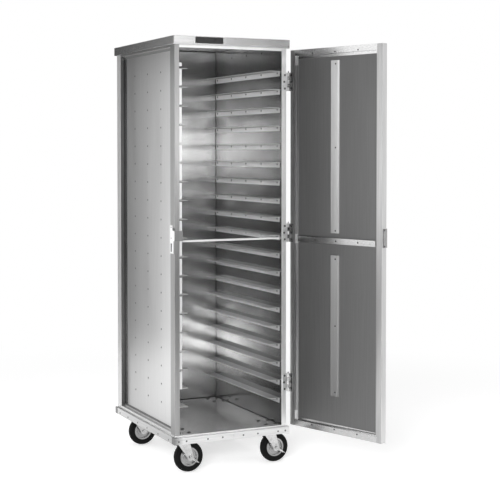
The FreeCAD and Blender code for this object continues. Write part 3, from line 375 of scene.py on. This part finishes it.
NODE_MATERIALS = {
    lid: ["top_cap"],
    deck: ["floor_deck"],
    apron: ["base_front_rail", "base_rear_rail"],
    apron_side: ["base_left_rail", "base_right_rail", "caster_channels"],
    shell: ["left_side_panel"],
    hinge_post: ["post_front_right"],
    frame_metal: ["post_front_left", "left_top_rail", "right_top_rail"],
    rear_frame: ["post_rear_left", "post_rear_right"],
    sill_metal: ["left_bottom_rail", "right_bottom_rail"],
    header_metal: ["front_header"],
    lining: ["right_side_panel"],
    back_lining: ["back_panel"],
    ledge_metal: ["left_ledges", "right_ledges"],
    bar_metal: ["mid_tie_bar"],
    strip_metal: ["latch_side_guide_strip"],
    strike_metal: ["latch_strike"],
    door_skin: ["door_panel"],
    door_edge: ["door_latch_stile", "door_corner_clips"],
    hinge_edge: ["door_hinge_stile"],
    strap_metal: ["door_upper_stiffener", "door_lower_stiffener"],
    door_cross: ["door_top_rail", "door_mid_rail", "door_bottom_rail"],
    leaf_metal: ["hinge_post_leaves"],
    hardware: ["hinge_door_leaves", "hinge_pins", "latch_body", "latch_pin", "latch_handle"],
    zinc: ["caster_plates", "caster_kingpins", "brake_lever_fl", "brake_lever_fr",
           *[f"caster_{part}_{corner}" for corner in CASTERS for part in ("fork", "axle")]],
    bolt_metal: ["caster_bolts"],
    hub_metal: [f"wheel_hub_{corner}" for corner in CASTERS],
    tyre_rubber: [f"wheel_tyre_{corner}" for corner in CASTERS],
}
for material, names in NODE_MATERIALS.items():
    for name in names:
        slots = cad_nodes[name].data.materials
        slots.clear()
        slots.append(material)

WELD_REACH = 0.02
EDGE_TURN = 40


def soften(name, width):
    """Rounds a node's sheet edges a little, without touching its mesh."""
    item = cad_nodes[name]
    weld = item.modifiers.new("weld", "WELD")
    weld.merge_threshold = WELD_REACH * MM
    bevel = item.modifiers.new("edge", "BEVEL")
    bevel.width = width * MM
    bevel.segments = 2
    bevel.limit_method = "ANGLE"
    bevel.angle_limit = math.radians(EDGE_TURN)
    bevel.harden_normals = True


# Small pieces, built in mesh code


def piece(name, mesh, body, material):
    """Finishes a mesh as an object that rides on a body."""
    data = bpy.data.meshes.new(name)
    bmesh.ops.recalc_face_normals(mesh, faces=mesh.faces)
    mesh.to_mesh(data)
    mesh.free()
    data.materials.append(material)
    item = bpy.data.objects.new(name, data)
    bpy.context.scene.collection.objects.link(item)
    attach(item, body)
    return item


def facing(spot, normal):
    """Place whose local Z points along normal, at a spot in millimetres."""
    turn = Vector((0, 0, 1)).rotation_difference(Vector(normal)).to_matrix().to_4x4()
    return Matrix.Translation(mm(*spot)) @ turn


def ring(mesh, place, radius, height, count):
    """Circle of vertices, sizes in millimetres."""
    corners = []
    for step in range(count):
        angle = 2 * math.pi * step / count
        spot = mm(radius * math.cos(angle), radius * math.sin(angle), height)
        corners.append(mesh.verts.new(place @ spot))
    return corners


def bridge(mesh, lower, upper, smooth=True):
    """Quads between two loops of equal count."""
    for a, b, c, d in zip(lower, lower[1:] + lower[:1], upper[1:] + upper[:1], upper):
        mesh.faces.new((a, b, c, d)).smooth = smooth


def trim(name, outlines, material):
    """Flat-sided piece of the cabinet through outlines of equal count, in millimetres, with closed ends."""
    mesh = bmesh.new()
    loops = [[mesh.verts.new(mm(*corner)) for corner in outline] for outline in outlines]
    for lower, upper in zip(loops, loops[1:]):
        bridge(mesh, lower, upper, smooth=False)
    mesh.faces.new(loops[-1])
    mesh.faces.new(list(reversed(loops[0])))
    piece(name, mesh, "cabinet", material)


DOME_PROFILE = [(1.0, 0.0), (0.98, 0.3), (0.82, 0.68), (0.52, 0.92)]
DOME_SEGMENTS = 14


def dome(mesh, place, radius, height):
    """Low domed rivet head."""
    loops = [ring(mesh, place, radius * r, height * h, DOME_SEGMENTS) for r, h in DOME_PROFILE]
    for lower, upper in zip(loops, loops[1:]):
        bridge(mesh, lower, upper)
    tip = mesh.verts.new(place @ mm(0, 0, height))
    for a, b in zip(loops[-1], loops[-1][1:] + loops[-1][:1]):
        mesh.faces.new((a, b, tip)).smooth = True
    mesh.faces.new(list(reversed(loops[0])))


SCREW_SEGMENTS = 24
RECESS_ARM, RECESS_HALF, RECESS_FLOOR = 0.55, 0.14, 0.3
SCREW_SHOULDER, SCREW_CROWN = 0.5, 0.8


def cross_outline(arm, half):
    """Outline of a cross, with a point in the middle of each edge."""
    corners, outline = [(arm, -half), (arm, half), (half, half)], []
    for quarter in range(4):
        outline += corners
        corners = [(-y, x) for x, y in corners]
    loop = []
    for start, end in zip(outline, outline[1:] + outline[:1]):
        loop += [start, ((start[0] + end[0]) / 2, (start[1] + end[1]) / 2)]
    return loop[1:] + loop[:1]


def cross_screw(mesh, place, radius, height):
    """Pan-head screw with a cross recess."""
    outline = cross_outline(radius * RECESS_ARM, radius * RECESS_HALF)
    foot = ring(mesh, place, radius, 0.0, SCREW_SEGMENTS)
    shoulder = ring(mesh, place, radius, height * SCREW_SHOULDER, SCREW_SEGMENTS)
    crown = ring(mesh, place, radius * SCREW_CROWN, height, SCREW_SEGMENTS)
    lip, recess = ([mesh.verts.new(place @ mm(x, y, z)) for x, y in outline]
                   for z in (height, height * RECESS_FLOOR))
    bridge(mesh, foot, shoulder, smooth=False)
    bridge(mesh, shoulder, crown)
    bridge(mesh, crown, lip, smooth=False)
    bridge(mesh, lip, recess, smooth=False)
    mesh.faces.new(recess)
    mesh.faces.new(list(reversed(foot)))


AS_DRAWN = Matrix.Identity(4)


def rivets(name, spots, body, place=AS_DRAWN, radius=3.4, height=1.3, material=rivet_metal):
    """One object of domed rivets at (spot, outward normal) pairs in millimetres."""
    mesh = bmesh.new()
    for spot, normal in spots:
        dome(mesh, place @ facing(spot, normal), radius, height)
    piece(name, mesh, body, material)


def screws(name, spots, body, place=AS_DRAWN, radius=4.4, height=0.5):
    """One object of cross-recessed screws at (spot, outward normal) pairs in millimetres."""
    mesh = bmesh.new()
    for spot, normal in spots:
        cross_screw(mesh, place @ facing(spot, normal), radius, height)
    piece(name, mesh, body, screw_metal)


RIVET_MIDDLE = 7.5
RIVET_SPACING = 152.0
RIVET_COLUMNS = [RIVET_MIDDLE + RIVET_SPACING * step for step in range(-2, 3)]
LEDGE_RIVET_DROP = 8.5
TOP_RIVET_RISE = 13.0


def ledge_rivets():
    """Rivets that hold the ledges: heads inside on the legs and outside on the panels."""
    heights = [LEDGE_TOP - LEDGE_PITCH * step - LEDGE_RIVET_DROP for step in range(LEDGE_COUNT)]
    leg_x = CABIN_X - LEDGE_SHEET
    for side, name in SIDES:
        inside = [((side * leg_x, y, z), (-side, 0, 0)) for z in heights for y in RIVET_COLUMNS]
        outside = [((side * PANEL_X, y, z), (side, 0, 0)) for z in heights for y in RIVET_COLUMNS[1:-1]]
        rivets(f"{name}_ledge_rivets_inside", inside, "cabinet", radius=4.0, material=dark_rivet)
        rivets(f"{name}_ledge_rivets_outside", outside, "cabinet", radius=3.9)


def top_rivets():
    """Row of rivets that hold each side panel to its top rail."""
    z = TOP_RAIL_LOW + TOP_RIVET_RISE
    for side, name in SIDES:
        spots = [((side * CABIN_X, y, z), (-side, 0, 0)) for y in RIVET_COLUMNS[1:-1]]
        rivets(f"{name}_top_rivets", spots, "cabinet", radius=5.0, material=dark_rivet)


CORNER_BEAD = 2.0
DECK_BEAD = 3.0
ROOF_BEAD = 3.5


def corner_shade_beads():
    """Dark bead along the seam of the back panel with each side panel: painted shade in the corner."""
    for side, name in SIDES:
        corners = [(side * CABIN_X, CABIN_BACK), (side * (CABIN_X - CORNER_BEAD), CABIN_BACK),
                   (side * CABIN_X, CABIN_BACK - CORNER_BEAD)]
        trim(f"{name}_corner_seam", [[(x, y, z) for x, y in corners] for z in (DECK_TOP, CABIN_HIGH)],
             painted_shade_seam)


def wall_shade_beads(level, z, bead, rise):
    """Dark bead round the cabinet where its walls meet the floor deck or the roof: painted shade along these
    joins.
    """
    right, rear, front = CABIN_X, CABIN_BACK, FRONT_Y + bead
    for name, start, end, inward in (("left", (-right, front), (-right, rear), (1, 0)),
                                     ("rear", (-right, rear), (right, rear), (0, -1)),
                                     ("right", (right, front), (right, rear), (-1, 0))):
        outlines = [[(x, y, z), (x + inward[0] * bead, y + inward[1] * bead, z), (x, y, z + rise * bead)]
                    for x, y in (start, end)]
        trim(f"{name}_{level}_seam", outlines, painted_shade_seam)


LAP_WIDE = 29.0
LAP_TUCK = 12.5
LAP_PROUD = 2.5
LAP_SHEET = 0.6
LAP_REAR_GAP = 0.1
LAP_END_GAP = 0.3


def lap_shade_strips():
    """Dark strip where each side panel tucks under the lap of its rear post: painted shade of the recess."""
    rear = RAIL_REAR - LAP_REAR_GAP
    inner, outer = PANEL_X + LAP_PROUD, PANEL_X + LAP_PROUD + LAP_SHEET
    corners = [(inner, rear), (outer, rear), (outer, rear - LAP_WIDE + LAP_SHEET),
               (PANEL_X, rear - LAP_WIDE), (PANEL_X, rear - LAP_TUCK)]
    heights = (SILL_TOP + LAP_END_GAP, TOP_RAIL_LOW - LAP_END_GAP)
    for side, name in SIDES:
        trim(f"{name}_lap_strip", [[(side * x, y, z) for x, y in corners] for z in heights], lap_painted_shade)


APRON_FRONT_COLUMNS = (-241.0, -207.0, -113.0, -47.0, 47.0, 113.0, 207.0, 241.0)
APRON_SIDE_COLUMNS = (-288.0, -171.5, -45.0, 67.0, 188.0, 290.0)
APRON_FRONT_Z, APRON_SIDE_Z, APRON_MIDDLE_Z = 146.5, 144.5, 147.0


def apron_rivets():
    """Rivets along the base aprons."""
    spots = []
    for end in (-1, 1):
        spots += [((x, end * APRON_Y, APRON_FRONT_Z), (0, end, 0)) for x in APRON_FRONT_COLUMNS]
    for side in (-1, 1):
        spots += [((side * APRON_X, y, APRON_SIDE_Z), (side, 0, 0)) for y in APRON_SIDE_COLUMNS]
    rivets("apron_rivets", spots, "cabinet", radius=3.6)
    middle = [((0.0, end * APRON_Y, APRON_MIDDLE_Z), (0, end, 0)) for end in (-1, 1)]
    rivets("apron_middle_rivets", middle, "cabinet", radius=6.5, height=2.2, material=apron)


MID_RAIL_REACHES, MID_RAIL_Z = (137.0, 251.0, 368.0), 952.75
END_RAIL_REACHES, END_RAIL_Z = (125.0, 249.0, 371.0), (1717.0, 188.0)
STRAP_RIVET_Z = (1668.0, 1331.0, 995.0, 880.0, 608.0, 338.0)


def door_rivets():
    """Rivets of the door's rails and straps, drawn on the closed door."""
    strap_face = DOOR_INNER - DOOR_SKIN_DEPTH + STRAP_HEIGHT
    spots = [(DOOR_EDGE - reach, strap_face, MID_RAIL_Z) for reach in MID_RAIL_REACHES]
    spots += [(DOOR_EDGE - reach, DOOR_INNER, z) for reach in END_RAIL_REACHES for z in END_RAIL_Z]
    spots += [(DOOR_EDGE - DOOR_WIDTH / 2, strap_face, z) for z in STRAP_RIVET_Z]
    rivets("door_rivets", [(spot, (0, 1, 0)) for spot in spots], "door", door_place, material=dark_rivet)


HINGE_SPACING = 629.0
HINGE_SCREW_STEP = 28.0
HINGE_SCREW_INSET, HINGE_MIDDLE_INSET = 16.0, 19.0
HINGE_LEAF = 0.5
DOOR_LEAF_GAP = 1.0


def hinge_screws():
    """Three screws in each hinge leaf."""
    post, door = [], []
    for hinge in (-1, 0, 1):
        for step in (-1, 0, 1):
            z = PIN_Z + HINGE_SPACING * hinge + HINGE_SCREW_STEP * step
            inset = HINGE_SCREW_INSET if step else HINGE_MIDDLE_INSET
            post.append(((PIN_X - inset, PIN_Y + HINGE_LEAF, z), (0, -1, 0)))
            door.append(((-inset - DOOR_LEAF_GAP, -HINGE_LEAF, z), (0, 1, 0)))
    screws("hinge_post_screws", post, "cabinet")
    screws("hinge_door_screws", door, "door", door_place, height=0.4)


LATCH_PLATE = 2.5
LATCH_DEPTH = 14.0
LATCH_SCREW_REACH = 32.0
STRIKE_SCREW_Y, STRIKE_SCREW_Z = -305.0, (1009.0, 966.0)


def latch_screws():
    """Screws of the latch's edge plate and of the strike."""
    plate_face = DOOR_EDGE - DOOR_WIDTH - LATCH_PLATE
    spots = [((plate_face, DOOR_INNER - LATCH_DEPTH, PIN_Z + LATCH_SCREW_REACH * end), (-1, 0, 0))
             for end in (-1, 1)]
    screws("latch_edge_screws", spots, "door", door_place, radius=3.4, height=1.0)
    strike = [((-POST_X - STRIKE_SHEET, STRIKE_SCREW_Y, z), (-1, 0, 0)) for z in STRIKE_SCREW_Z]
    screws("strike_screws", strike, "cabinet", radius=2.6, height=0.8)


SLOT_RISE = (7.0, 41.0)
SLOT_REACH = (26.0, 37.6)
SLOT_LIFT = (0.02, 0.12)


def slot_painted_shade():
    """Thin dark sheet over the strike's slot and its rim, on the face of the plate: painted shade of the
    slot's opening and rim.
    """
    low, high = (STRIKE_LOW + rise for rise in SLOT_RISE)
    near, far = (FRONT_Y + reach for reach in SLOT_REACH)
    corners = [(near, low), (far, low), (far, high), (near, high)]
    outlines = [[(-POST_X - STRIKE_SHEET - lift, y, z) for y, z in corners] for lift in SLOT_LIFT]
    trim("strike_slot_painted_shade", outlines, painted_shade_seam)


PLATE_X = (-166.0, -44.0)
PLATE_Z = (1749.5, 1775.5)
PLATE_CORNER = 3.0
PLATE_CORNER_STEPS = 4
PLATE_PROFILE = ((0.0, 0.0), (0.0, 1.2), (0.6, 1.8), (2.2, 1.8), (2.8, 1.1))


def bare_plate():
    """Bare black plate on the cap's front, with a raised border of (inset, lift) steps."""
    left, right = PLATE_X[LOW] + PLATE_CORNER, PLATE_X[HIGH] - PLATE_CORNER
    low, high = PLATE_Z[LOW] + PLATE_CORNER, PLATE_Z[HIGH] - PLATE_CORNER
    outlines = []
    for inset, lift in PLATE_PROFILE:
        reach, outline = PLATE_CORNER - inset, []
        for quarter, (x, z) in enumerate(((right, high), (left, high), (left, low), (right, low))):
            for step in range(PLATE_CORNER_STEPS + 1):
                angle = math.radians(90 * (quarter + step / PLATE_CORNER_STEPS))
                outline.append((x + reach * math.cos(angle), CAP_FRONT - lift, z + reach * math.sin(angle)))
        outlines.append(outline)
    trim("bare_black_plate", outlines, plate_black)


TYRE_PROFILE = [(39.1, 13.2), (41.0, 14.6), (43.5, 15.6), (45.0, 15.0), (46.2, 15.6), (52.0, 16.0),
                (55.5, 15.6), (58.2, 14.2), (60.4, 11.6), (61.8, 7.6), (62.5, 3.0)]
TYRE_SEGMENTS = 72


def tyre(corner):
    """Tyre with a rounded tread and ribbed side walls, in place of the plain one."""
    middle = Vector(joints[f"wheel_{corner}"]["pos_m"])
    place = Matrix.Translation(middle) @ Matrix.Rotation(math.radians(90), 4, "X")
    profile = TYRE_PROFILE + [(radius, -reach) for radius, reach in reversed(TYRE_PROFILE)]
    mesh = bmesh.new()
    loops = [ring(mesh, place, radius, reach, TYRE_SEGMENTS) for radius, reach in profile]
    for lower, upper in zip(loops, loops[1:] + loops[:1]):
        bridge(mesh, lower, upper)
    item = piece(f"tyre_{corner}", mesh, f"wheel_{corner}", tyre_rubber)
    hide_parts(f"wheel_tyre_{corner}")


ledge_rivets()
top_rivets()
corner_shade_beads()
lap_shade_strips()
wall_shade_beads("deck", DECK_TOP, DECK_BEAD, 1)
wall_shade_beads("roof", CABIN_HIGH, ROOF_BEAD, -1)
apron_rivets()
door_rivets()
hinge_screws()
latch_screws()
slot_painted_shade()
bare_plate()
for corner in CASTERS:
    tyre(corner)

# Widths of the rounded sheet edges, in millimetres
BEVELS = {
    1.2: ["top_cap"],
    1.0: ["latch_handle"],
    0.9: ["base_front_rail", "base_rear_rail", "base_left_rail", "base_right_rail",
          "post_front_left", "post_front_right", "post_rear_left", "post_rear_right"],
    0.8: ["mid_tie_bar"],
    0.7: ["front_header", "latch_body"],
    0.6: ["left_top_rail", "right_top_rail", "left_bottom_rail", "right_bottom_rail", "left_ledges",
          "right_ledges", "door_hinge_stile", "door_latch_stile", "door_top_rail", "door_bottom_rail",
          "floor_deck"],
    0.5: ["door_mid_rail", "door_upper_stiffener", "door_lower_stiffener", "latch_strike"],
}
for width, names in BEVELS.items():
    for name in names:
        soften(name, width)


# Stage, light and camera, in metres


class StageNet(Net):
    """Node tree of the floor or the world, which the camera, mirrors and soft light see in different ways."""

    def __init__(self, tree, output):
        super().__init__(tree)
        tree.nodes.clear()
        self.output = self.add(output)
        self.rays = self.add("ShaderNodeLightPath").outputs
        self.coordinates = self.add("ShaderNodeTexCoord").outputs

    def glow(self, kind, strength):
        """White emission or background."""
        node = self.add(kind)
        node.inputs["Color"].default_value = (1, 1, 1, 1)
        self.feed(node.inputs["Strength"], strength)
        return node.outputs[0]

    def mix(self, factor, first, second):
        """First shader where the factor is 0, second where it is 1."""
        node = self.add("ShaderNodeMixShader")
        for socket, item in zip(node.inputs, (factor, first, second)):
            self.feed(socket, item)
        return node.outputs[0]

    def finish(self, shader):
        """Sends a shader to the output."""
        self.feed(self.output.inputs["Surface"], shader)


FLOOR_RADIUS = 30.0
FLOOR_DROP = 0.0005
FLOOR_LIFT = 0.36
FLOOR_SHADE = 0.88
FLOOR_CLEAR = (0.9, 3.2)
FLOOR_NEAR = (0.35, 1.3)
FLOOR_FAR = (2.6, 3.4)
GLEAM_NEAR, GLEAM_MIDDLE, GLEAM_FAR = 0.6, 1.05, 0.12


def stage_floor():
    """Pale floor that keeps the shadow and clears to white away from the object; seen in mirrors it glows as
    painted light, brightest in a band round the object.
    """
    bpy.ops.mesh.primitive_circle_add(vertices=96, radius=FLOOR_RADIUS, fill_type="NGON",
                                      location=(0, 0, -FLOOR_DROP))
    floor_ = bpy.context.object
    floor_.name = "studio_floor"
    material = bpy.data.materials.new("studio_floor")
    material.use_nodes = True
    net = StageNet(material.node_tree, "ShaderNodeOutputMaterial")
    diffuse = net.add("ShaderNodeBsdfDiffuse")
    diffuse.inputs["Color"].default_value = (FLOOR_SHADE, FLOOR_SHADE, FLOOR_SHADE, 1)
    lit = net.add("ShaderNodeAddShader")
    net.feed(lit.inputs[0], diffuse.outputs[0])
    net.feed(lit.inputs[1], net.glow("ShaderNodeEmission", FLOOR_LIFT))
    far = net.add("ShaderNodeVectorMath", operation="LENGTH")
    net.feed(far.inputs[0], net.coordinates["Object"])
    radius = far.outputs["Value"]
    clear = net.change(radius, FLOOR_CLEAR, (0.0, 1.0), smooth=True)
    seen = net.mix(clear, lit.outputs[0], net.glow("ShaderNodeEmission", 1.0))
    near = net.change(radius, FLOOR_NEAR, (GLEAM_NEAR, GLEAM_MIDDLE), smooth=True)
    gone = net.change(radius, FLOOR_FAR, (1.0, GLEAM_FAR / GLEAM_MIDDLE), smooth=True)
    mirrored = net.glow("ShaderNodeEmission", net.math("MULTIPLY", near, gone))
    other = net.mix(net.rays["Is Glossy Ray"], diffuse.outputs[0], mirrored)
    net.finish(net.mix(net.rays["Is Camera Ray"], other, seen))
    floor_.data.materials.append(material)


ROOM_LIGHT = 0.45
ROOM_LOW = 0.12
ROOM_HIGH = 0.07
ROOM_RISE = (-0.1, 0.35)


def studio_world():
    """White where the background is seen; a dim room, darker overhead, in the metal."""
    world = bpy.data.worlds.new("studio")
    bpy.context.scene.world = world
    world.use_nodes = True
    net = StageNet(world.node_tree, "ShaderNodeOutputWorld")
    height = net.part(net.coordinates["Generated"], "Z")
    room = net.change(height, ROOM_RISE, (ROOM_LOW, ROOM_HIGH), smooth=True)
    mirrored, soft, white = (net.glow("ShaderNodeBackground", strength)
                             for strength in (room, ROOM_LIGHT, 1.0))
    clear = net.math("MAXIMUM", net.rays["Is Camera Ray"], net.rays["Is Transmission Ray"])
    other = net.mix(net.rays["Is Glossy Ray"], soft, mirrored)
    net.finish(net.mix(clear, other, white))


def softbox(name, place, target, size, radiance, mirrored=True, lighting=True):
    """Soft lamp or white card aimed at a point, by the brightness of its face."""
    data = bpy.data.lights.new(name, "AREA")
    data.shape = "RECTANGLE"
    data.size, data.size_y = size
    data.energy = radiance * math.pi * size[0] * size[1]
    lamp = bpy.data.objects.new(name, data)
    lamp.location = place
    lamp.rotation_euler = (Vector(target) - Vector(place)).to_track_quat("-Z", "Y").to_euler()
    bpy.context.scene.collection.objects.link(lamp)
    lamp.visible_camera = False
    lamp.visible_glossy = mirrored
    lamp.visible_diffuse = lighting


CAMERA_PLACE = (-2.1423, -4.9586, 1.3156)
CAMERA_DOWN = 1.854
CAMERA_HEADING = -25.72
CAMERA_SENSOR = 36.0
CAMERA_LENS = 89.67
CAMERA_SHIFT = -0.1166
CAMERA_REACH = 60.0


def camera():
    """Camera at the photograph's viewing angle."""
    data = bpy.data.cameras.new("camera")
    data.sensor_width = CAMERA_SENSOR
    data.lens = CAMERA_LENS
    data.shift_y = CAMERA_SHIFT
    data.clip_end = CAMERA_REACH
    item = bpy.data.objects.new("camera", data)
    item.location = CAMERA_PLACE
    item.rotation_euler = (math.radians(90 - CAMERA_DOWN), 0, math.radians(CAMERA_HEADING))
    bpy.context.scene.collection.objects.link(item)
    bpy.context.scene.camera = item


stage_floor()
studio_world()
softbox("front_right", place=(0.95, -2.95, 1.36), target=(0.0, 0.3, 1.36), size=(1.7, 0.42), radiance=3.0)
softbox("upper_right", place=(0.4, -2.95, 2.5), target=(0.0, 0.3, 2.0), size=(1.4, 1.0), radiance=1.7)
softbox("post_card", place=(1.66, -2.95, 1.48), target=(0.24, -0.3, 1.4), size=(0.32, 0.6), radiance=2.4)
softbox("floor_card", place=(-1.05, -2.1, 0.03), target=(-1.05, -2.0, 2.0), size=(0.9, 1.1), radiance=7.0)
softbox("front_left", place=(-1.35, -2.9, 1.335), target=(0.1, 0.3, 1.335), size=(1.3, 0.32), radiance=4.8)
softbox("left_rear_card", place=(-2.42, 1.9, 0.95), target=(-2.42, 0.0, 0.95), size=(2.2, 1.8), radiance=1.9)
softbox("left_card", place=(-1.9, 0.0, 1.5), target=(0.4, -0.7, 1.2), size=(1.4, 1.6), radiance=0.9)
softbox("right_card", place=(2.2, -1.6, 1.2), target=(0.4, -0.8, 1.0), size=(1.2, 2.2), radiance=0.8)
softbox("rear_card", place=(0.7, 3.4, 1.1), target=(0.7, 0.3, 1.1), size=(2.8, 2.2), radiance=0.6,
        lighting=False)
softbox("far_right_card", place=(3.2, 1.7, 1.1), target=(0.3, 0.2, 1.1), size=(2.4, 2.2), radiance=0.6,
        lighting=False)
softbox("key", place=(-3.2, -3.6, 2.6), target=(0.0, 0.0, 0.9), size=(2.4, 2.4), radiance=3.0,
        mirrored=False)
softbox("fill", place=(-2.6, -4.2, 1.6), target=(0.1, 0.0, 1.0), size=(1.6, 1.0), radiance=36.0,
        mirrored=False)
softbox("overhead", place=(0.0, 0.3, 4.2), target=(0.0, 0.0, 0.9), size=(3.0, 3.0), radiance=1.2)
camera()
bpy.context.scene.view_settings.view_transform = "Standard"
